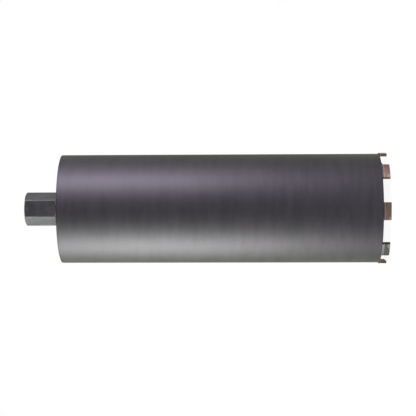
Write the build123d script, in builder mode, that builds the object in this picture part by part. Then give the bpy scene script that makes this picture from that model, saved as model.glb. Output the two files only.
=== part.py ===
from build123d import *
from math import radians, tan
import os

# A core bit for wet drilling, stood on its cutting segments with the hub on top.
# Millimetres; Z runs up the axis and is zero on the plane of the segment tips.

# Barrel tube
tube_diameter = 149.5
tube_wall = 2.25
tube_length = 436.0
tube_edge = 0.4

# Cutting segments, welded in a ring to the lower end of the tube
segment_count = 8
segment_length = 24.0
segment_height = 10.0
segment_thickness = 4.0
segment_proud = 1.25
segment_corner = 0.6
segment_tip_edge = 0.5
first_segment_angle = -4.9

# Back plate, set a little way into the upper end of the tube
plate_thickness = 8.0
plate_recess = 1.5
plate_edge = 1.0
plate_gap = 0.1
rim_weld_leg = 2.2
neck_weld_leg = 3.5
spigot_weld_leg = 2.5

# Hub, turned from hexagon bar; its heights are counted from the upper rim of the tube
hub_height = 51.0
hub_across_flats = 41.0
hub_turned_diameter = 46.2
hub_end_diameter = 40.6
hub_end_angle = 30.0
hub_base_angle = 30.0
neck_diameter = 40.0
neck_height = 7.2
spigot_diameter = 36.0
spigot_overhang = 3.0
spigot_edge = 0.6
spigot_gap = 0.05

# Threaded socket in the hub, and the water passage below it
thread_diameter = 31.75
thread_depth = 38.0
mouth_chamfer = 1.5
water_bore_diameter = 26.0

# Places that follow from the sizes above
tube_radius = tube_diameter / 2
tube_bore_radius = tube_radius - tube_wall
tube_top = segment_height + tube_length
plate_top = tube_top - plate_recess
plate_bottom = plate_top - plate_thickness
neck_radius = neck_diameter / 2
spigot_radius = spigot_diameter / 2
spigot_hole_radius = spigot_radius + spigot_gap
spigot_bottom = plate_bottom - spigot_overhang
hub_base = tube_top + neck_height
hub_top = tube_top + hub_height
hub_end_radius = hub_end_diameter / 2
turned_radius = hub_turned_diameter / 2
base_cone_height = (turned_radius - neck_radius) * tan(radians(hub_base_angle))
end_cone_height = (turned_radius - hub_end_radius) * tan(radians(hub_end_angle))
segment_outer_radius = tube_radius + segment_proud
segment_inner_radius = segment_outer_radius - segment_thickness

os.makedirs("parts", exist_ok=True)


def ring(outer_radius, inner_radius):
    """Draw a flat ring in the open sketch."""
    Circle(outer_radius)
    Circle(inner_radius, mode=Mode.SUBTRACT)


def weld_section(wall_radius, floor_height, outward, upward, leg):
    """Section of a slightly crowned fillet weld between a round wall and a flat face."""
    corner = (wall_radius, floor_height)
    foot = (wall_radius + outward * leg, floor_height)
    head = (wall_radius, floor_height + upward * leg)
    with BuildSketch(Plane.XZ) as section:
        with BuildLine():
            Line(corner, foot)
            SagittaArc(foot, head, -outward * upward * leg / 8)
            Line(head, corner)
        make_face()
    return section.sketch


# Barrel tube: a plain tube with both rims lightly chamfered
with BuildPart() as barrel_tube:
    with BuildSketch(Plane.XY.offset(segment_height)):
        ring(tube_radius, tube_bore_radius)
    extrude(amount=tube_length)
    chamfer(barrel_tube.edges().filter_by(GeomType.CIRCLE), length=tube_edge)

barrel_tube.part.label = "barrel_tube"
export_step(barrel_tube.part, "parts/barrel_tube.step")

# Back plate: a disc with its weld beads to the tube, to the hub's neck and to its spigot
with BuildPart() as back_plate:
    with BuildSketch(Plane.XY.offset(plate_bottom)):
        ring(tube_bore_radius - plate_gap, spigot_hole_radius)
    extrude(amount=plate_thickness)
    rims = back_plate.edges().filter_by(GeomType.CIRCLE).group_by(SortBy.RADIUS)[-1]
    chamfer(rims, length=plate_edge)
    revolve(weld_section(tube_bore_radius, plate_top - plate_edge, -1, 1, rim_weld_leg), axis=Axis.Z)
    revolve(weld_section(neck_radius, plate_top, 1, 1, neck_weld_leg), axis=Axis.Z)
    revolve(weld_section(spigot_radius, plate_bottom, 1, -1, spigot_weld_leg), axis=Axis.Z)

back_plate.part.label = "back_plate"
export_step(back_plate.part, "parts/back_plate.step")

# Hub: the hexagon is intersected with a turned outline, which rounds its six corners and
# leaves a cone at each end of the flats. A round neck stands on the plate and a spigot
# passes through it.
with BuildPart() as hex_hub:
    with BuildSketch(Plane.XY.offset(hub_base)):
        RegularPolygon(hub_across_flats / 2, 6, major_radius=False)
    extrude(amount=hub_top - hub_base)
    with BuildSketch(Plane.XZ):
        with BuildLine():
            Polyline(
                (0, hub_base),
                (neck_radius, hub_base),
                (turned_radius, hub_base + base_cone_height),
                (turned_radius, hub_top - end_cone_height),
                (hub_end_radius, hub_top),
                (0, hub_top),
                close=True,
            )
        make_face()
    revolve(axis=Axis.Z, mode=Mode.INTERSECT)
    with BuildSketch(Plane.XY.offset(plate_top)):
        Circle(neck_radius)
    extrude(amount=hub_base - plate_top)
    with BuildSketch(Plane.XY.offset(spigot_bottom)):
        Circle(spigot_radius)
    extrude(amount=plate_top - spigot_bottom)
    chamfer(hex_hub.faces().sort_by(Axis.Z)[0].edges(), length=spigot_edge)
    with Locations(Plane.XY.offset(hub_top)):
        CounterBoreHole(water_bore_diameter / 2, thread_diameter / 2, thread_depth)
    mouth = hex_hub.faces().sort_by(Axis.Z)[-1].inner_wires().edges()
    chamfer(mouth, length=mouth_chamfer)

hex_hub.part.label = "hex_hub"
export_step(hex_hub.part, "parts/hex_hub.step")

# Cutting segments: each is a curved block cut from a ring with parallel ends
for number in range(segment_count):
    angle = first_segment_angle + number * 360 / segment_count
    with BuildPart() as segment:
        with BuildSketch(Plane.XY.rotated((0, 0, angle))):
            ring(segment_outer_radius, segment_inner_radius)
            with Locations((segment_outer_radius, 0)):
                Rectangle(segment_outer_radius, segment_length, mode=Mode.INTERSECT)
        extrude(amount=segment_height)
        fillet(segment.edges().filter_by(Axis.Z), radius=segment_corner)
        chamfer(segment.faces().sort_by(Axis.Z)[0].edges(), length=segment_tip_edge)

    segment.part.label = f"segment_{number + 1}"
    export_step(segment.part, f"parts/segment_{number + 1}.step")
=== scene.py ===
from math import atan2, cos, degrees, pi, radians, sin, tan

import bpy
from mathutils import Matrix, Vector


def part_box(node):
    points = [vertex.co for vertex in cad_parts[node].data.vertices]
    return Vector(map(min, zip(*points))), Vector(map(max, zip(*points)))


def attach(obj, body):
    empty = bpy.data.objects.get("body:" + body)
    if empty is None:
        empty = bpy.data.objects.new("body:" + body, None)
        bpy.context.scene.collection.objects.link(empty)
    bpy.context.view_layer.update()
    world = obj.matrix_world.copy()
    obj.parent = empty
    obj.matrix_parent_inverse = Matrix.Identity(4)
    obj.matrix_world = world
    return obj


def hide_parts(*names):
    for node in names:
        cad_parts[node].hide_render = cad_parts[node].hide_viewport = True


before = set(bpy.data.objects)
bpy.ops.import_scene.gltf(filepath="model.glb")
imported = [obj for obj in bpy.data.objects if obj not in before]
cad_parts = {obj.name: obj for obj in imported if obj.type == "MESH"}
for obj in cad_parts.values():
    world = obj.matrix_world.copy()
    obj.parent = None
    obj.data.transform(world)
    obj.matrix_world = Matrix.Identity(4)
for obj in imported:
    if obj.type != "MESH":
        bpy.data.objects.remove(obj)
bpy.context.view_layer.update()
print("Frame loaded:", len(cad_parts), "nodes")

# The bit stands on its segments with the hub on top. Lengths are metres, angles are degrees,
# and a polar angle is counted round the axis from +X.


def polarPoint(radius, polar, height):
    return Vector((radius * cos(radians(polar)), radius * sin(radians(polar)), height))


def polarOf(place):
    return degrees(atan2(place.y, place.x))


# Camera: it lies on its side, because the photograph shows the bit lying down

photoCamera = {
    "distance": 1.87407,
    "polar": -91.6,
    "height": 0.20142,
    "lookPolar": 88.372,
    "lookUp": 2.489,
    "roll": -90.174,
    "lens": 117.227,
    "sensor": 36.0,
    "shift": 0.0669,
}


def makeCamera():
    data = bpy.data.cameras.new("camera")
    data.lens = photoCamera["lens"]
    data.sensor_width = photoCamera["sensor"]
    data.shift_x = photoCamera["shift"]
    camera = bpy.data.objects.new("camera", data)
    bpy.context.scene.collection.objects.link(camera)
    turn = Matrix.Rotation(radians(photoCamera["lookPolar"] - 90), 4, "Z")
    tilt = Matrix.Rotation(radians(photoCamera["lookUp"] + 90), 4, "X")
    roll = Matrix.Rotation(radians(photoCamera["roll"]), 4, "Z")
    place = polarPoint(photoCamera["distance"], photoCamera["polar"], photoCamera["height"])
    camera.matrix_world = Matrix.Translation(place) @ turn @ tilt @ roll
    bpy.context.scene.camera = camera


makeCamera()
print("Camera placed")


# Shader expressions

class Value:  # a node's output, so that maths on it reads as an expression
    def __init__(self, tree, socket):
        self.tree = tree
        self.socket = socket

    def math(self, operation, *values):
        return self.tree.add("ShaderNodeMath", {"operation": operation}, dict(enumerate(values)))

    def __add__(self, other):
        return self.math("ADD", self, other)

    def __radd__(self, other):
        return self.math("ADD", other, self)

    def __sub__(self, other):
        return self.math("SUBTRACT", self, other)

    def __rsub__(self, other):
        return self.math("SUBTRACT", other, self)

    def __mul__(self, other):
        return self.math("MULTIPLY", self, other)

    def __rmul__(self, other):
        return self.math("MULTIPLY", other, self)

    def __truediv__(self, other):
        return self.math("DIVIDE", self, other)

    def __rtruediv__(self, other):
        return self.math("DIVIDE", other, self)

    def __abs__(self):
        return self.math("ABSOLUTE", self)


class Tree:  # the node tree of a material or of the world
    def __init__(self, owner):
        owner.use_nodes = True
        self.nodes = owner.node_tree.nodes
        self.links = owner.node_tree.links
        self.nodes.clear()

    def add(self, kind, settings=None, inputs=None, output=0):
        made = self.nodes.new(kind)
        for name, setting in (settings or {}).items():
            setattr(made, name, setting)
        for name, value in (inputs or {}).items():
            if isinstance(value, Value):
                self.links.new(value.socket, made.inputs[name])
            else:
                made.inputs[name].default_value = value
        return Value(self, made.outputs[output]) if made.outputs else None

    def place(self):
        return self.add("ShaderNodeTexCoord", output="Object")

    def split(self, vector):
        parts = self.add("ShaderNodeSeparateXYZ", inputs={0: vector})
        return [Value(self, socket) for socket in parts.socket.node.outputs]

    def noise(self, vector, stretch, detail=2.0, roughness=0.5):
        scaled = self.add(
            "ShaderNodeVectorMath", {"operation": "MULTIPLY"}, {0: vector, 1: stretch})
        return self.add(
            "ShaderNodeTexNoise",
            inputs={"Vector": scaled, "Scale": 1.0, "Detail": detail, "Roughness": roughness},
        )

    def ramp(self, value, low, high):  # 0 below low and 1 above high, smooth between them
        return self.add(
            "ShaderNodeMapRange",
            {"interpolation_type": "SMOOTHSTEP"},
            {"Value": value, "From Min": low, "From Max": high},
        )

    def mix(self, share, first, second):
        return self.add(
            "ShaderNodeMix",
            {"data_type": "RGBA"},
            {0: share, 6: first, 7: second},
            output=2,
        )

    def mixValue(self, share, first, second):
        return self.add("ShaderNodeMix", {"data_type": "FLOAT"}, {0: share, 2: first, 3: second})

    def bump(self, height, strength, depth):
        return self.add(
            "ShaderNodeBump",
            inputs={"Height": height, "Strength": strength, "Distance": depth},
            output="Normal",
        )

    def surface(self, **inputs):  # a Principled shader as the material's output
        named = {name.replace("_", " "): value for name, value in inputs.items()}
        shader = self.add("ShaderNodeBsdfPrincipled", inputs=named)
        self.add("ShaderNodeOutputMaterial", inputs={"Surface": shader})


def colour(red, green, blue):
    return (red, green, blue, 1.0)


def newMaterial(name):
    material = bpy.data.materials.new(name)
    return material, Tree(material)


def radiusOf(x, y):
    square = x * x + y * y
    return square.math("SQRT", square)


# Studio: a pale floor, a world that is white behind the bit and grey elsewhere, and soft lamps at
# the sides. Floor and world show their white only to rays that look at them, and light the bit
# with far less.

studio = {
    "backdrop": 1.0,
    "sides": 0.367,
    "front": 0.0,
    "sideTint": (0.986, 1.0, 0.934),
    "behind": 0.568,
    "behindTint": (0.989, 1.0, 0.827),
    "fill": 0.149,
    "backdropCone": (0.90, 0.96),  # how much along +Y a ray points, at no white and at full white
    "frontTurn": (-0.91, -0.06),  # the same for the grey of the sides
    "behindTurn": (0.10, 0.60),  # and for the greener grey behind
    "floorSize": 10.0,
    "floorGlow": 0.985,
    "floorFront": (-0.50, -0.30),
    "floorSides": (0.305, 0.55),
    "floorSpread": 0.17,  # the white part of the floor widens backwards
    "floorColour": colour(0.25, 0.25, 0.25),
    "greyFloorColour": colour(0.379, 0.379, 0.379),
    "whiteFloorColour": colour(0.08, 0.08, 0.08),
    "shadowReach": (0.12, 0.80),
    "shadowDepth": 0.05,
}

softLights = {
    "upperSoftbox": {
        "polar": -33.2, "distance": 1.6, "height": 0.737, "size": (0.55, 1.10),
        "power": 33.5, "colour": (1.000, 0.93, 0.995), "aim": 0.3,
    },
    "lowerSoftbox": {
        "polar": 187.2, "distance": 1.6, "height": 0.418, "size": (1.07, 1.18),
        "power": 71.1, "colour": (0.961, 1.00, 0.858), "aim": 0.3,
    },
    "topSoftbox": {
        "polar": 80.0, "distance": 0.5, "height": 2.2, "size": (1.4, 1.4),
        "power": 30.0, "colour": (1.0, 1.0, 1.0), "aim": 0.4,
    },
}


def seenRay(tree):  # 1 for rays that look at the background straight, in gloss or through glass
    path = tree.add("ShaderNodeLightPath")
    outputs = path.socket.node.outputs
    flags = [Value(tree, outputs[name]) for name in
             ("Is Camera Ray", "Is Glossy Ray", "Is Transmission Ray")]
    total = flags[0] + flags[1] + flags[2]
    return total.math("MINIMUM", total, 1.0)


def surroundColour(tree, along):  # grey, darker towards the camera's side and greener behind
    tint = studio["sideTint"]
    front = [studio["front"] * part for part in tint]
    sides = [studio["sides"] * part for part in tint]
    behind = [studio["behind"] * part for part in studio["behindTint"]]
    nearer = tree.mix(tree.ramp(along, *studio["frontTurn"]), colour(*front), colour(*sides))
    return tree.mix(tree.ramp(along, *studio["behindTurn"]), nearer, colour(*behind))


def makeWorld():
    world = bpy.data.worlds.new("studio")
    bpy.context.scene.world = world
    tree = Tree(world)
    direction = tree.add("ShaderNodeTexCoord", output="Generated")
    along = tree.split(direction)[1]
    around = surroundColour(tree, along)
    white = colour(*[studio["backdrop"]] * 3)
    shown = tree.mix(tree.ramp(along, *studio["backdropCone"]), around, white)
    fill = tree.add("ShaderNodeBackground", inputs={"Color": white, "Strength": studio["fill"]})
    seen = tree.add("ShaderNodeBackground", inputs={"Color": shown, "Strength": 1.0})
    both = tree.add("ShaderNodeMixShader", inputs={0: seenRay(tree), 1: fill, 2: seen})
    tree.add("ShaderNodeOutputWorld", inputs={"Surface": both})


def makeFloor():
    bpy.ops.object.select_all(action="DESELECT")
    bpy.ops.mesh.primitive_plane_add(size=studio["floorSize"])
    floor = bpy.context.object
    floor.name = "floor"
    material, tree = newMaterial("pale floor")
    x, y, z = tree.split(tree.place())
    aside = tree.ramp(abs(x) - y * studio["floorSpread"], *studio["floorSides"])
    white = tree.ramp(y, *studio["floorFront"]) * (1 - aside)
    radius = radiusOf(x, y)
    around = surroundColour(tree, y / radius)
    near = 1 - tree.ramp(radius, *studio["shadowReach"])  # painted shadow: the glow dims round the bit, so that the lamps' shadow shows too
    glow = colour(*[studio["floorGlow"]] * 3)
    glowing = tree.mix(near * studio["shadowDepth"], glow, colour(0, 0, 0))
    shown = tree.mix(white, around, glowing)
    seen = seenRay(tree)
    shining = tree.add("ShaderNodeEmission", inputs={"Color": shown, "Strength": seen})
    shaded = tree.mix(white, studio["greyFloorColour"], studio["whiteFloorColour"])
    lit = tree.mix(seen, studio["floorColour"], shaded)
    plain = tree.add("ShaderNodeBsdfDiffuse", inputs={"Color": lit})
    both = tree.add("ShaderNodeAddShader", inputs={0: shining, 1: plain})
    tree.add("ShaderNodeOutputMaterial", inputs={"Surface": both})
    floor.data.materials.append(material)


def makeLights():
    for name, light in softLights.items():
        data = bpy.data.lights.new(name, "AREA")
        data.shape = "RECTANGLE"
        data.size, data.size_y = light["size"]
        data.energy = light["power"]
        data.color = light["colour"]
        lamp = bpy.data.objects.new(name, data)
        bpy.context.scene.collection.objects.link(lamp)
        place = polarPoint(light["distance"], light["polar"], light["height"])
        lamp.location = place
        towards = Vector((0, 0, light["aim"])) - place
        lamp.rotation_euler = towards.to_track_quat("-Z", "Y").to_euler()
        lamp.visible_camera = False


makeWorld()
makeFloor()
makeLights()
bpy.context.scene.view_settings.view_transform = "Standard"
print("Studio ready")


# Modelling steps that several pieces share

mergeDistance = 1e-6


def applyStep(made, kind, **settings):
    bpy.ops.object.select_all(action="DESELECT")
    made.select_set(True)
    bpy.context.view_layer.objects.active = made
    step = made.modifiers.new(kind, kind)
    for name, setting in settings.items():
        setattr(step, name, setting)
    bpy.ops.object.modifier_apply(modifier=step.name)


def combine(made, tool, operation):  # boolean with a tool that isn't needed afterwards
    applyStep(made, "BOOLEAN", operation=operation, solver="EXACT", object=tool)
    bpy.data.objects.remove(tool)


def pick(made, test):  # goes to edit mode with the corners selected that pass the test
    bpy.ops.object.select_all(action="DESELECT")
    made.select_set(True)
    bpy.context.view_layer.objects.active = made
    bpy.ops.object.mode_set(mode="EDIT")
    bpy.ops.mesh.select_mode(type="VERT")
    bpy.ops.mesh.select_all(action="DESELECT")
    bpy.ops.object.mode_set(mode="OBJECT")
    for corner in made.data.vertices:
        corner.select = test(corner.co)
    bpy.ops.object.mode_set(mode="EDIT")


def roundRims(made, width, steps, angle=50):
    applyStep(made, "BEVEL", width=width, segments=steps, limit_method="ANGLE",
              angle_limit=radians(angle), use_clamp_overlap=False)


def softShade(made, angle=32):
    bpy.ops.object.select_all(action="DESELECT")
    made.select_set(True)
    bpy.context.view_layer.objects.active = made
    bpy.ops.object.shade_smooth_by_angle(angle=radians(angle))


def turnRing(name, outline, steps):  # turns a closed section of (radius, height) points
    bpy.ops.object.select_all(action="DESELECT")
    radius, height = outline[0]
    bpy.ops.mesh.primitive_circle_add(vertices=steps, radius=radius, location=(0, 0, height))
    made = bpy.context.object
    made.name = name
    bpy.ops.object.transform_apply(location=True, rotation=True, scale=True)
    bpy.ops.object.mode_set(mode="EDIT")
    bpy.ops.mesh.select_mode(type="EDGE")
    bpy.ops.mesh.select_all(action="SELECT")
    for nextRadius, nextHeight in outline[1:]:
        bpy.ops.mesh.extrude_edges_move(
            TRANSFORM_OT_translate={"value": (0, 0, nextHeight - height)})
        share = nextRadius / radius
        bpy.ops.transform.resize(value=(share, share, 1), center_override=(0, 0, nextHeight))
        radius, height = nextRadius, nextHeight
    bpy.ops.mesh.select_non_manifold(extend=False)
    bpy.ops.mesh.bridge_edge_loops()
    bpy.ops.mesh.select_all(action="SELECT")
    bpy.ops.mesh.normals_make_consistent(inside=False)
    bpy.ops.object.mode_set(mode="OBJECT")
    return made


def finishPiece(made, material, slot, *nodes):
    made.data.name = made.name
    made.data.materials.clear()
    made.data.materials.append(material)
    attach(made, "root")
    if nodes:
        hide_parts(*nodes)


# Tube

tubeShape = {"wall": 0.00225, "rimRound": 0.0004, "steps": 288, "rimSteps": 3}


def makeTube(material):
    low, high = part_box("barrel_tube")
    outer, bore = high.x, high.x - tubeShape["wall"]
    section = [(outer, low.z), (outer, high.z), (bore, high.z), (bore, low.z)]
    tube = turnRing("barrelTube", section, tubeShape["steps"])
    roundRims(tube, tubeShape["rimRound"], tubeShape["rimSteps"])
    softShade(tube)
    finishPiece(tube, material, "barrel_coating", "barrel_tube")


# Back plate with its weld beads, whose ripples lie side by side round the joint

plateShape = {"gap": 0.0001, "edge": 0.001, "spigotHole": 0.01805, "steps": 240}
plateWelds = {
    "rimWeld": {"wall": 0.0725, "outward": -1, "upward": 1, "leg": 0.0022, "ripples": 190},
    "neckWeld": {"wall": 0.0200, "outward": 1, "upward": 1, "leg": 0.0035, "ripples": 52},
    "spigotWeld": {"wall": 0.0180, "outward": 1, "upward": -1, "leg": 0.0025, "ripples": 52},
}
beadShape = {
    "crown": 0.14, "sunk": 0.00015, "points": 8, "smooth": 60, "rippleSteps": 6,
    "rippleHeights": (1.0, 0.85, 0.6, 0.3), "rippleLift": 0.00016, "rippleLead": 2.6,
    "rippledPart": (0.02, 0.99),
}


def makeBead(name, floorHeight, material):
    weld = plateWelds[name]
    leg, outward, upward = weld["leg"], weld["outward"], weld["upward"]
    sunk, points = beadShape["sunk"], beadShape["points"]
    root = (weld["wall"] - outward * sunk, floorHeight - upward * sunk)
    section = [root, (weld["wall"] + outward * leg, root[1])]
    for index in range(points + 1):
        share = index / points
        crown = beadShape["crown"] * leg * sin(pi * share)
        section.append((weld["wall"] + outward * (leg * (1 - share) + crown),
                        floorHeight + upward * (leg * share + crown)))
    section.append((root[0], floorHeight + upward * leg))
    steps = weld["ripples"] * beadShape["rippleSteps"]
    bead = turnRing(name, section, steps)
    lowest, highest = beadShape["rippledPart"]
    for phase, height in enumerate(beadShape["rippleHeights"]):

        def onRipple(corner):
            rise = (corner.z - floorHeight) * upward / leg
            if not lowest < rise < highest:
                return False
            lead = beadShape["rippleLead"] * sin(pi * min(rise, 1))
            turn = polarOf(corner) / 360 * steps + lead
            return round(turn) % beadShape["rippleSteps"] == phase

        pick(bead, onRipple)
        bpy.ops.transform.shrink_fatten(value=beadShape["rippleLift"] * height)
        bpy.ops.object.mode_set(mode="OBJECT")
    softShade(bead, beadShape["smooth"])
    finishPiece(bead, material, "plate_coating")


def makePlate(plateMaterial, weldMaterial):
    low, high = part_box("back_plate")
    bottom = low.z + plateWelds["spigotWeld"]["leg"]
    top = high.z - plateWelds["neckWeld"]["leg"]
    rim, hole = plateWelds["rimWeld"]["wall"] - plateShape["gap"], plateShape["spigotHole"]
    edge = plateShape["edge"]
    section = [(rim, bottom + edge), (rim, top - edge), (rim - edge, top),
               (hole, top), (hole, bottom), (rim - edge, bottom)]
    plate = turnRing("backPlate", section, plateShape["steps"])
    softShade(plate)
    finishPiece(plate, plateMaterial, "plate_coating", "back_plate")
    makeBead("rimWeld", top - edge, weldMaterial)
    makeBead("neckWeld", top, weldMaterial)
    makeBead("spigotWeld", bottom, weldMaterial)


# Hub: hexagon bar turned at its corners, ends, neck and spigot, and bored through

hubShape = {
    "acrossFlats": 0.0410, "turned": 0.0462, "end": 0.0406, "neck": 0.0400, "spigot": 0.0360,
    "neckHeight": 0.0072, "plateRecess": 0.0015, "endAngle": 30.0, "baseAngle": 30.0,
    "spigotEdge": 0.0006, "thread": 0.03175, "threadDepth": 0.038, "mouth": 0.0015,
    "waterBore": 0.0260, "steps": 192, "edgeRound": 0.00018, "edgeSteps": 2,
    "edgeAngle": 14, "smooth": 40, "sides": 6,
}
halfSide = pi / hubShape["sides"]  # the angle from the middle of a flat to its corner


def makeHub(material):
    low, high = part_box("hex_hub")
    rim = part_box("barrel_tube")[1].z
    top, base, seat = high.z, rim + hubShape["neckHeight"], rim - hubShape["plateRecess"]
    turned, end, neck = hubShape["turned"] / 2, hubShape["end"] / 2, hubShape["neck"] / 2
    spigot, edge, water = hubShape["spigot"] / 2, hubShape["spigotEdge"], hubShape["waterBore"] / 2
    thread, mouth = hubShape["thread"] / 2, hubShape["mouth"]
    floor = top - hubShape["threadDepth"]
    endCone = (turned - end) * tan(radians(hubShape["endAngle"]))
    baseCone = (turned - neck) * tan(radians(hubShape["baseAngle"]))
    section = [
        (thread + mouth, top), (end, top), (turned, top - endCone), (turned, base + baseCone),
        (neck, base), (neck, seat), (spigot, seat), (spigot, low.z + edge), (spigot - edge, low.z),
        (water, low.z), (water, floor), (thread, floor), (thread, top - mouth),
    ]
    hub = turnRing("hexHub", section, hubShape["steps"])
    bpy.ops.object.select_all(action="DESELECT")
    bpy.ops.mesh.primitive_cylinder_add(
        vertices=hubShape["sides"], radius=hubShape["acrossFlats"] / 2 / cos(halfSide),
        depth=2 * (top - low.z), location=(0, 0, (top + low.z) / 2), rotation=(0, 0, halfSide))
    bar = bpy.context.object
    bpy.ops.object.transform_apply(location=True, rotation=True, scale=True)
    combine(hub, bar, "INTERSECT")
    roundRims(hub, hubShape["edgeRound"], hubShape["edgeSteps"], hubShape["edgeAngle"])
    softShade(hub, hubShape["smooth"])
    applyStep(hub, "WEIGHTED_NORMAL", keep_sharp=True)
    finishPiece(hub, material, "hub_steel", "hex_hub")


# Thread: one ridge wound up the socket, cut off by the countersunk mouth

threadShape = {
    "pitch": 0.00362857, "crest": 0.0141, "root": 0.01595, "crestWidth": 0.00112,
    "rootWidth": 0.00325, "steps": 72, "extraTurns": 2, "endSides": 8, "slack": 0.0004,
}


def makeThread(material):
    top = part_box("hex_hub")[1].z
    mouth, depth = top - hubShape["mouth"], hubShape["threadDepth"]
    floor, pitch = top - depth, threadShape["pitch"]
    crest, root = threadShape["crest"], threadShape["root"]
    bpy.ops.object.select_all(action="DESELECT")
    bpy.ops.mesh.primitive_plane_add(
        size=1, location=((crest + root) / 2, 0, floor - pitch / 2), rotation=(pi / 2, 0, 0))
    ridge = bpy.context.object
    ridge.name = "spindleThread"
    ridge.scale = (root - crest, threadShape["rootWidth"], 1)
    bpy.ops.object.transform_apply(location=True, rotation=True, scale=True)
    pick(ridge, lambda corner: corner.x < (crest + root) / 2)
    narrow = threadShape["crestWidth"] / threadShape["rootWidth"]
    bpy.ops.transform.resize(value=(1, 1, narrow), center_override=(0, 0, floor - pitch / 2))
    bpy.ops.object.mode_set(mode="OBJECT")
    steps, turns = threadShape["steps"], int((mouth - floor) / pitch) + threadShape["extraTurns"]
    applyStep(ridge, "SCREW", axis="Z", angle=2 * pi, screw_offset=pitch, iterations=turns,
              steps=steps, render_steps=steps, use_merge_vertices=True)
    pick(ridge, lambda corner: True)
    bpy.ops.mesh.remove_doubles(threshold=mergeDistance)
    bpy.ops.mesh.fill_holes(sides=threadShape["endSides"])
    bpy.ops.mesh.normals_make_consistent(inside=False)
    bpy.ops.object.mode_set(mode="OBJECT")
    slack, wall = threadShape["slack"], hubShape["thread"] / 2
    inner, outer, foot = crest - slack, root + slack, floor + slack / 4
    section = [(inner, foot), (outer, foot),
               (outer, mouth + outer - wall), (inner, mouth + inner - wall)]
    room = turnRing("threadRoom", section, steps * 2)
    combine(ridge, room, "INTERSECT")
    softShade(ridge)
    finishPiece(ridge, material, "hub_steel")


# Weld beads between the segments' feet and the rim of the tube, outside and inside

footWelds = {
    "outer": {"radius": 0.07488, "size": 0.00080, "name": "footWeld"},
    "inner": {"radius": 0.07244, "size": 0.00042, "name": "footWeldInner"},
}
footWeldShape = {
    "length": 0.0236, "round": 10, "steps": 44, "ripple": 4, "lift": 0.00005, "taper": 0.45,
    "smooth": 60, "sameAngle": 0.01,
}
segmentCount = 8
firstSegment = -4.9


def makeFootWelds(material):
    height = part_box("segment_1")[1].z
    for weld in footWelds.values():
        sweep = footWeldShape["length"] / weld["radius"]
        start = radians(firstSegment) - sweep / 2
        bpy.ops.object.select_all(action="DESELECT")
        bpy.ops.mesh.primitive_circle_add(
            vertices=footWeldShape["round"], radius=weld["size"], fill_type="NGON",
            location=(weld["radius"], 0, height), rotation=(pi / 2, 0, 0))
        bead = bpy.context.object
        bpy.ops.object.transform_apply(location=True, rotation=True, scale=True)
        pick(bead, lambda corner: True)
        bpy.ops.mesh.spin(
            steps=footWeldShape["steps"], angle=sweep, axis=(0, 0, 1), center=(0, 0, 0))
        bpy.ops.mesh.select_all(action="SELECT")
        bpy.ops.mesh.remove_doubles(threshold=mergeDistance)
        bpy.ops.mesh.normals_make_consistent(inside=False)
        bpy.ops.object.mode_set(mode="OBJECT")
        ends = sorted({round(polarOf(corner.co), 3) for corner in bead.data.vertices})
        for end in (ends[0], ends[-1]):
            pick(bead, lambda corner: abs(polarOf(corner) - end) < footWeldShape["sameAngle"])
            centre = polarPoint(weld["radius"], end, height)
            bpy.ops.transform.resize(value=(footWeldShape["taper"],) * 3, center_override=centre)
            bpy.ops.object.mode_set(mode="OBJECT")
        rings = {end: index for index, end in enumerate(ends)}

        def onRipple(corner):
            ring = rings.get(round(polarOf(corner), 3), 1)
            return ring % footWeldShape["ripple"] == 0

        pick(bead, onRipple)
        bpy.ops.transform.shrink_fatten(value=footWeldShape["lift"])
        bpy.ops.object.mode_set(mode="OBJECT")
        softShade(bead, footWeldShape["smooth"])
        turned = bead.data.copy()
        turned.transform(Matrix.Rotation(start - radians(ends[0]), 4, "Z"))
        bpy.data.objects.remove(bead)
        for index in range(segmentCount):
            mesh = turned.copy()
            mesh.transform(Matrix.Rotation(2 * pi * index / segmentCount, 4, "Z"))
            piece = bpy.data.objects.new(weld["name"] + str(index + 1), mesh)
            bpy.context.scene.collection.objects.link(piece)
            finishPiece(piece, material, "segment_matrix")


# Coating of the tube: dark satin with faint rings, with painted shade that darkens it towards
# the segments where the lamps fall off, and heat colours over their feet

coatingLook = {
    "hubEnd": colour(0.0727, 0.0716, 0.0905),
    "shadedFootEnd": colour(0.0263, 0.0253, 0.0350),
    "shadeFade": (-0.095, 0.450),
    "ringDark": colour(0.066, 0.059, 0.070),
    "ringLight": colour(0.104, 0.091, 0.109),
    "ringShare": 0.40,
    "ringBlend": 0.75,
    "ringLimits": (0.32, 0.68),
    "ringStretch": (18, 18, 95),
    "blotchStretch": (16, 16, 12),
    "grainStretch": (30, 30, 4200),
    "spotStretch": (150, 150, 150),
    "spotFloor": 0.3,
    "bore": colour(0.099, 0.090, 0.085),
    "blueHeat": colour(0.058, 0.061, 0.108),
    "blueShare": 0.45,
    "blueReach": (0.0015, 0.006),
    "strawHeat": colour(0.076, 0.058, 0.054),
    "heatLimits": (0.15, 0.75),
    "strawShare": 0.4,
    "strawReach": (0.0045, 0.010),
    "rim": colour(0.022, 0.018, 0.022),
    "metal": 0.9,
    "roughness": 0.568,
    "edgeTint": colour(0.872, 0.979, 0.656),
    "ringGloss": 0.08,
    "boreDull": 0.12,
    "boreDepth": (0.0014, 0.0012),
    "grainBump": (0.12, 0.00006),
    "rimShadeWidth": 0.0016,
    "rimShadeShare": 0.8,
}


def footShare(tree, x, y, limits):  # 1 at the middle of a segment, 0 between two
    polar = y.math("ARCTAN2", y, x)
    wave = (polar - radians(firstSegment)) * segmentCount
    return tree.ramp(wave.math("COSINE", wave), *limits)


def alongSegment(tree, x, y):  # from about -1 at one end of a segment to 1 at the other
    polar = y.math("ARCTAN2", y, x)
    wave = (polar - radians(firstSegment)) * segmentCount
    return wave.math("SINE", wave)


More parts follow.
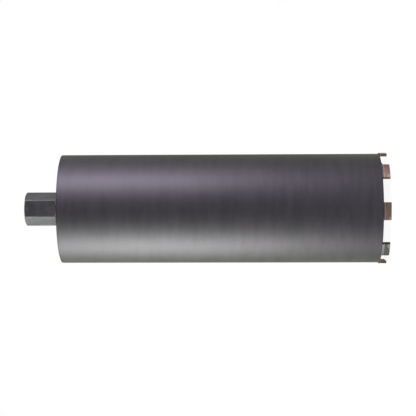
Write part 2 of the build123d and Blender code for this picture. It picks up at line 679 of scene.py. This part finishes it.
def makeCoating():
    material, tree = newMaterial("satin coating")
    place = tree.place()
    x, y, z = tree.split(place)
    low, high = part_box("barrel_tube")
    rings = tree.noise(place, coatingLook["ringStretch"], detail=4.0, roughness=0.7)
    grain = tree.noise(place, coatingLook["grainStretch"])
    blotch = tree.noise(place, coatingLook["blotchStretch"], detail=4.0)
    spots = tree.noise(place, coatingLook["spotStretch"])
    # painted shade: the colour darkens from the hub end to the segment end, standing in for the
    # lamps' falloff along the tube
    rise = tree.ramp(z, *coatingLook["shadeFade"])
    shadedSheen = tree.mix(rise, coatingLook["shadedFootEnd"], coatingLook["hubEnd"])
    blend = coatingLook["ringBlend"]
    ringed = tree.ramp(rings * blend + blotch * (1 - blend), *coatingLook["ringLimits"])
    streaks = tree.mix(ringed, coatingLook["ringDark"], coatingLook["ringLight"])
    outer = tree.mix(coatingLook["ringShare"], shadedSheen, streaks)
    near = footShare(tree, x, y, coatingLook["heatLimits"]) * (coatingLook["spotFloor"] + spots)
    straw = near * (1 - tree.ramp(z - low.z, *coatingLook["strawReach"]))
    blue = near * (1 - tree.ramp(z - low.z, *coatingLook["blueReach"]))
    warmed = tree.mix(straw * coatingLook["strawShare"], outer, coatingLook["strawHeat"])
    heated = tree.mix(blue * coatingLook["blueShare"], warmed, coatingLook["blueHeat"])
    # painted shade: a thin dark band at each end of the tube, along its rounded rims
    width = coatingLook["rimShadeWidth"]
    rim = 1 - tree.ramp(z, low.z, low.z + width) + tree.ramp(z, high.z - width, high.z)
    edged = tree.mix(rim * coatingLook["rimShadeShare"], heated, coatingLook["rim"])
    deep, shallow = coatingLook["boreDepth"]
    inside = 1 - tree.ramp(radiusOf(x, y), high.x - deep, high.x - shallow)
    gloss = (rings - 0.5) * coatingLook["ringGloss"] + inside * coatingLook["boreDull"]
    tree.surface(
        Base_Color=tree.mix(inside, edged, coatingLook["bore"]),
        Metallic=coatingLook["metal"],
        Roughness=coatingLook["roughness"] + gloss,
        Specular_Tint=coatingLook["edgeTint"],
        Normal=tree.bump(grain, *coatingLook["grainBump"]),
    )
    return material


# Plate: a dull coating over a faced disc, and a glossier one on its weld beads

plateLook = {
    "colour": colour(0.062, 0.056, 0.066),
    "lightColour": colour(0.092, 0.084, 0.096),
    "weldColour": colour(0.054, 0.051, 0.056),
    "soot": colour(0.019, 0.018, 0.019),
    "metal": 0.9,
    "reflection": 0.1,
    "roughness": 0.66,
    "edgeTint": colour(0.40, 0.40, 0.40),
    "weldTint": colour(1.0, 0.95, 1.0),
    "facing": 0.0011,
    "facingHeight": 0.5,
    "facingBump": (0.25, 0.00003),
    "patchStretch": (45, 45, 45),
    "fineStretch": (900, 900, 900),
    "patchGloss": 0.2,
    "neckSoot": (0.0035, 0.0091),
    "rimSoot": (-0.0077, -0.0021),
    "sootShare": (0.35, 0.6),
    "weldRoughness": 0.36,
    "weldPatchGloss": 0.22,
    "weldPatchStretch": (160, 160, 160),
    "pitStretch": (1500, 1500, 1500),
    "pitBump": (0.3, 0.00004),
}


def makePlateCoating():
    material, tree = newMaterial("faced plate coating")
    place = tree.place()
    x, y, z = tree.split(place)
    radius = radiusOf(x, y)
    wave = radius * (2 * pi / plateLook["facing"])
    facing = wave.math("SINE", wave)
    patch = tree.noise(place, plateLook["patchStretch"], detail=4.0)
    fine = tree.noise(place, plateLook["fineStretch"])
    neck, rim = hubShape["neck"] / 2, plateWelds["rimWeld"]["wall"]
    nearNeck = 1 - tree.ramp(radius - neck, *plateLook["neckSoot"])
    nearRim = tree.ramp(radius - rim, *plateLook["rimSoot"])
    sootFloor, sootPatches = plateLook["sootShare"]
    soot = (nearNeck + nearRim) * (sootFloor + patch * sootPatches)
    plain = tree.mix(patch, plateLook["colour"], plateLook["lightColour"])
    tree.surface(
        Base_Color=tree.mix(soot, plain, plateLook["soot"]),
        Metallic=plateLook["metal"],
        Roughness=plateLook["roughness"] + (patch - 0.5) * plateLook["patchGloss"],
        Specular_IOR_Level=plateLook["reflection"],
        Specular_Tint=plateLook["edgeTint"],
        Normal=tree.bump(facing * plateLook["facingHeight"] + fine, *plateLook["facingBump"]),
    )
    return material


def makeWeldCoating():
    material, tree = newMaterial("coated weld")
    place = tree.place()
    patch = tree.noise(place, plateLook["weldPatchStretch"], detail=3.0)
    pits = tree.noise(place, plateLook["pitStretch"])
    tree.surface(
        Base_Color=tree.mix(patch, plateLook["soot"], plateLook["weldColour"]),
        Roughness=plateLook["weldRoughness"] + patch * plateLook["weldPatchGloss"],
        Specular_Tint=plateLook["weldTint"],
        Normal=tree.bump(pits, *plateLook["pitBump"]),
    )
    return material


# Hub: blackened flats as drawn, with one flat and the top end darkened as painted shade, turned
# corners with a thin coat, and a bright cone below

hubLook = {
    "flat": colour(0.030, 0.031, 0.036),
    "flatLight": colour(0.057, 0.057, 0.065),
    "shadedFlat": colour(0.010, 0.010, 0.026),
    "shadedFlatPolar": 210.0,
    "corner": colour(0.031, 0.031, 0.034),
    "lowerCone": colour(0.93, 0.90, 0.95),
    "end": colour(0.011, 0.009, 0.011),
    "endShadeReach": (0.0020, 0.0012),
    "reflection": 0.74,
    "roughness": 0.40,
    "cornerRoughness": 0.62,
    "coneRoughness": 0.42,
    "coneMetal": 0.9,
    "flatEdge": (0.00010, 0.00004),
    "baseEdge": (0.00016, 0.00006),
    "shadedFlatEdge": (0.0004, 0.0001),
    "coneStart": (0.0001, 0.0006),
    "drawnStretch": (900, 900, 14),
    "drawnBump": (0.18, 0.00003),
    "turningStretch": (12, 12, 2600),
    "patchStretch": (85, 85, 60),
    "patchLimits": (0.3, 0.7),
    "patchShare": 0.7,
    "patchGloss": 0.12,
}


def makeHubSteel():
    material, tree = newMaterial("blackened hub steel")
    place = tree.place()
    x, y, z = tree.split(place)
    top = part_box("hex_hub")[1].z
    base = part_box("barrel_tube")[1].z + hubShape["neckHeight"]
    slant, across = cos(halfSide), sin(halfSide)
    sides = [abs(y), abs(x * slant + y * across), abs(x * slant - y * across)]
    wider = sides[0].math("MAXIMUM", sides[0], sides[1])
    width = wider.math("MAXIMUM", wider, sides[2])
    flatAt = hubShape["acrossFlats"] / 2
    far, close = hubLook["flatEdge"]
    turned = 1 - tree.ramp(width, flatAt - far, flatAt - close)
    drawn = tree.noise(place, hubLook["drawnStretch"], detail=3.0)
    mottle = tree.noise(place, hubLook["patchStretch"], detail=4.0, roughness=0.6)
    patch = tree.ramp(mottle, *hubLook["patchLimits"])
    turning = tree.noise(place, hubLook["turningStretch"], detail=1.0)
    radius = radiusOf(x, y)
    # painted shade: the top 2 mm, the end chamfer, is coloured near black
    reach, full = hubLook["endShadeReach"]
    endShade = tree.ramp(z, top - reach, top - full)
    far, close = hubLook["baseEdge"]
    neck = hubShape["neck"] / 2
    coneAt = radius - (z - base) * (1 / tan(radians(hubShape["baseAngle"])))
    aboveBase = tree.ramp(coneAt, neck - far, neck - close)
    share = hubLook["patchShare"]
    dark = tree.mix(patch * share + drawn * (1 - share), hubLook["flat"], hubLook["flatLight"])
    # painted shade: one flat is coloured darker and bluer than the rest, to tone down how the
    # lamps light it
    shadedFlatTurn = radians(hubLook["shadedFlatPolar"])
    outAlong = x * cos(shadedFlatTurn) + y * sin(shadedFlatTurn)
    far, close = hubLook["shadedFlatEdge"]
    onShadedFlat = tree.ramp(outAlong, flatAt - far, flatAt - close)
    blued = tree.mix(onShadedFlat, dark, hubLook["shadedFlat"])
    cornered = tree.mix(turned, blued, hubLook["corner"])
    low, high = hubLook["coneStart"]
    bright = aboveBase * turned * tree.ramp(radius, flatAt + low, flatAt + high)
    lower = tree.mix(bright, cornered, hubLook["lowerCone"])
    cornerRough = tree.mixValue(turned, hubLook["roughness"], hubLook["cornerRoughness"])
    rough = tree.mixValue(bright, cornerRough, hubLook["coneRoughness"])
    tree.surface(
        Base_Color=tree.mix(endShade, lower, hubLook["end"]),
        Metallic=bright * hubLook["coneMetal"],
        Roughness=rough + (patch - 0.5) * hubLook["patchGloss"],
        Specular_IOR_Level=hubLook["reflection"],
        Normal=tree.bump(drawn * (1 - turned) + turning * turned, *hubLook["drawnBump"]),
    )
    return material


threadLook = {
    "valley": colour(0.10, 0.095, 0.09),
    "crest": colour(0.36, 0.35, 0.34),
    "crestShare": 0.7,
    "crestEdge": (0.0001, 0.0006),
    "metal": 0.9,
    "roughness": 0.34,
    "patchGloss": 0.18,
    "patchStretch": (240, 240, 240),
    "patchBump": (0.2, 0.00004),
}


def makeThreadSteel():
    material, tree = newMaterial("cut thread steel")
    place = tree.place()
    x, y, z = tree.split(place)
    patch = tree.noise(place, threadLook["patchStretch"], detail=3.0)
    low, high = threadLook["crestEdge"]
    crest = 1 - tree.ramp(radiusOf(x, y), threadShape["crest"] + low, threadShape["crest"] + high)
    share = threadLook["crestShare"]
    bright = crest * share + patch * (1 - share)
    tree.surface(
        Base_Color=tree.mix(bright, threadLook["valley"], threadLook["crest"]),
        Metallic=threadLook["metal"],
        Roughness=threadLook["roughness"] + patch * threadLook["patchGloss"],
        Normal=tree.bump(patch, *threadLook["patchBump"]),
    )
    return material


# Segments: sintered bronze with grit, on a steel foot that the weld has blued, with painted light,
# highlights and shade

segmentLook = {
    "footHeight": 0.0077,
    "footEdge": 0.0001,
    "bronze": colour(0.233, 0.137, 0.106),
    "bronzeDark": colour(0.104, 0.057, 0.045),
    "grit": colour(0.459, 0.405, 0.364),
    "paintedHighlight": colour(0.621, 0.446, 0.378),
    "end": colour(0.182, 0.092, 0.044),
    "tipShade": colour(0.095, 0.053, 0.037),
    "film": colour(0.027, 0.027, 0.029),
    "filmHighlight": colour(0.083, 0.100, 0.097),
    "filmEndShade": colour(0.010, 0.010, 0.011),
    "filmFootShade": colour(0.084, 0.080, 0.068),
    "filmPolar": 220.1,
    "foot": colour(0.203, 0.197, 0.215),
    "blued": colour(0.047, 0.050, 0.112),
    "weld": colour(0.099, 0.099, 0.119),
    "weldDark": colour(0.040, 0.038, 0.054),
    "gritScale": 1500.0,
    "gritSize": (0.16, 0.30),
    "gritShare": 0.35,
    "gritBump": (0.35, 0.00007),
    "reliefHeights": (0.8, 0.5),  # of the grit and of the layers
    "grainAndLightShares": (0.6, 0.35, 0.15),  # of the layers, the patches and the painted light along each segment
    "patchStretch": (330, 330, 330),
    "dullness": (0.2, -0.10, 0.03),  # of the patches, the foot and the film
    "layerStretch": (45, 45, 620),
    "layerLimits": (0.36, 0.64),
    "highlightBlend": (130, 0.5),  # of the height and the patches
    "highlightLimits": (0.35, 1.05),
    "highlightShare": 0.4,
    "tipShadeReach": (0.0004, 0.0015),
    "tipShadeShare": 0.5,
    "endLimits": (0.27, 0.40),
    "endShare": 0.8,
    "filmEdge": (0.071, 0.0735),
    "filmHighlightBlend": (0.9, 220, 0.6),  # of the painted light along the segment, the height and the patches
    "filmHighlightLimits": (0.0, 0.6),
    "bluedReach": (0.0013, 0.0004),
    "bluedShare": 0.8,
    "metal": 0.78,
    "footMetal": 0.2,
    "roughness": 0.52,
    "weldStretch": (420, 420, 420),
    "weldMetal": 0.85,
    "weldRoughness": 0.50,
    "weldPatchGloss": 0.16,
    "weldBump": (0.15, 0.00003),
}


def makeSegmentMatrix():
    material, tree = newMaterial("sintered segment")
    place = tree.place()
    x, y, z = tree.split(place)
    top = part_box("segment_1")[1].z
    footHeight, footEdge = segmentLook["footHeight"], segmentLook["footEdge"]
    foot = tree.ramp(z, footHeight - footEdge, footHeight + footEdge)
    far, close = segmentLook["bluedReach"]
    blued = tree.ramp(z, top - far, top - close)
    patch = tree.noise(place, segmentLook["patchStretch"], detail=3.0)
    layering = tree.noise(place, segmentLook["layerStretch"])
    layers = tree.ramp(layering, *segmentLook["layerLimits"])
    scale = segmentLook["gritScale"]
    grit = tree.add("ShaderNodeTexVoronoi", inputs={"Vector": place, "Scale": scale})
    stones = 1 - tree.ramp(grit, *segmentLook["gritSize"])
    ends = 1 - footShare(tree, x, y, segmentLook["endLimits"])
    # painted shade: the bronze darkens along the tip edge, over its last 1.5 mm
    tipShade = 1 - tree.ramp(z, *segmentLook["tipShadeReach"])
    # painted light: each segment is lighter towards one end and darker towards the other, the same
    # way round on all of them
    lightAlong = alongSegment(tree, x, y)
    layered, patched, lightShare = segmentLook["grainAndLightShares"]
    grain = layers * layered + patch * patched - lightAlong * lightShare
    body = tree.mix(grain, segmentLook["bronzeDark"], segmentLook["bronze"])
    gritty = tree.mix(stones * segmentLook["gritShare"], body, segmentLook["grit"])
    # painted highlight: brighter bronze near the tip at the lighter end of each segment
    rise, patched = segmentLook["highlightBlend"]
    highlightMask = tree.ramp(patch * patched - lightAlong - z * rise, *segmentLook["highlightLimits"])
    paintedHighlight = tree.mix(highlightMask * segmentLook["highlightShare"], gritty, segmentLook["paintedHighlight"])
    tipped = tree.mix(tipShade * segmentLook["tipShadeShare"], paintedHighlight, segmentLook["tipShade"])
    filmTurn = radians(segmentLook["filmPolar"])
    outAlong = x * cos(filmTurn) + y * sin(filmTurn)
    film = tree.ramp(outAlong, *segmentLook["filmEdge"])
    # painted highlight: the grey film on the one segment is lighter near the tip and towards one
    # end
    lightShare, rise, patched = segmentLook["filmHighlightBlend"]
    filmHighlightMask = tree.ramp(lightAlong * lightShare - z * rise + patch * patched, *segmentLook["filmHighlightLimits"])
    coat = tree.mix(filmHighlightMask, segmentLook["film"], segmentLook["filmHighlight"])
    filmed = tree.mix(film, tipped, coat)
    # painted shade: the end faces of the filmed segment are near black
    ended = tree.mix(film, segmentLook["end"], segmentLook["filmEndShade"])
    shaded = tree.mix(ends * segmentLook["endShare"], filmed, ended)
    # painted shade: the filmed segment's foot is much darker than the other feet
    footed = tree.mix(film, segmentLook["foot"], segmentLook["filmFootShade"])
    steel = tree.mix(blued * segmentLook["bluedShare"], footed, segmentLook["blued"])
    patchDull, footDull, filmDull = segmentLook["dullness"]
    dull = (patch - 0.5) * patchDull + foot * footDull + film * filmDull
    stone, layer = segmentLook["reliefHeights"]
    relief = (stones * stone + patch) * (1 - foot) + layers * layer
    tree.surface(
        Base_Color=tree.mix(foot, shaded, steel),
        Metallic=segmentLook["metal"] + foot * segmentLook["footMetal"],
        Roughness=segmentLook["roughness"] + dull,
        Normal=tree.bump(relief, *segmentLook["gritBump"]),
    )
    return material


def makeFootWeldSteel():
    material, tree = newMaterial("blued weld steel")
    place = tree.place()
    patch = tree.noise(place, segmentLook["weldStretch"])
    tree.surface(
        Base_Color=tree.mix(patch, segmentLook["weldDark"], segmentLook["weld"]),
        Metallic=segmentLook["weldMetal"],
        Roughness=segmentLook["weldRoughness"] + patch * segmentLook["weldPatchGloss"],
        Normal=tree.bump(patch, *segmentLook["weldBump"]),
    )
    return material


coating = makeCoating()
plateCoating = makePlateCoating()
weldCoating = makeWeldCoating()
hubSteel = makeHubSteel()
threadSteel = makeThreadSteel()
segmentMatrix = makeSegmentMatrix()
footWeldSteel = makeFootWeldSteel()
print("Materials made")

makeTube(coating)
print("Tube made")
makePlate(plateCoating, weldCoating)
print("Plate and welds made")
makeHub(hubSteel)
print("Hub made")
makeThread(threadSteel)
print("Thread made")
makeFootWelds(footWeldSteel)
print("Foot welds made")

for name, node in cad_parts.items():
    if name.startswith("segment"):
        node.data.materials.clear()
        node.data.materials.append(segmentMatrix)
print("Segments finished")
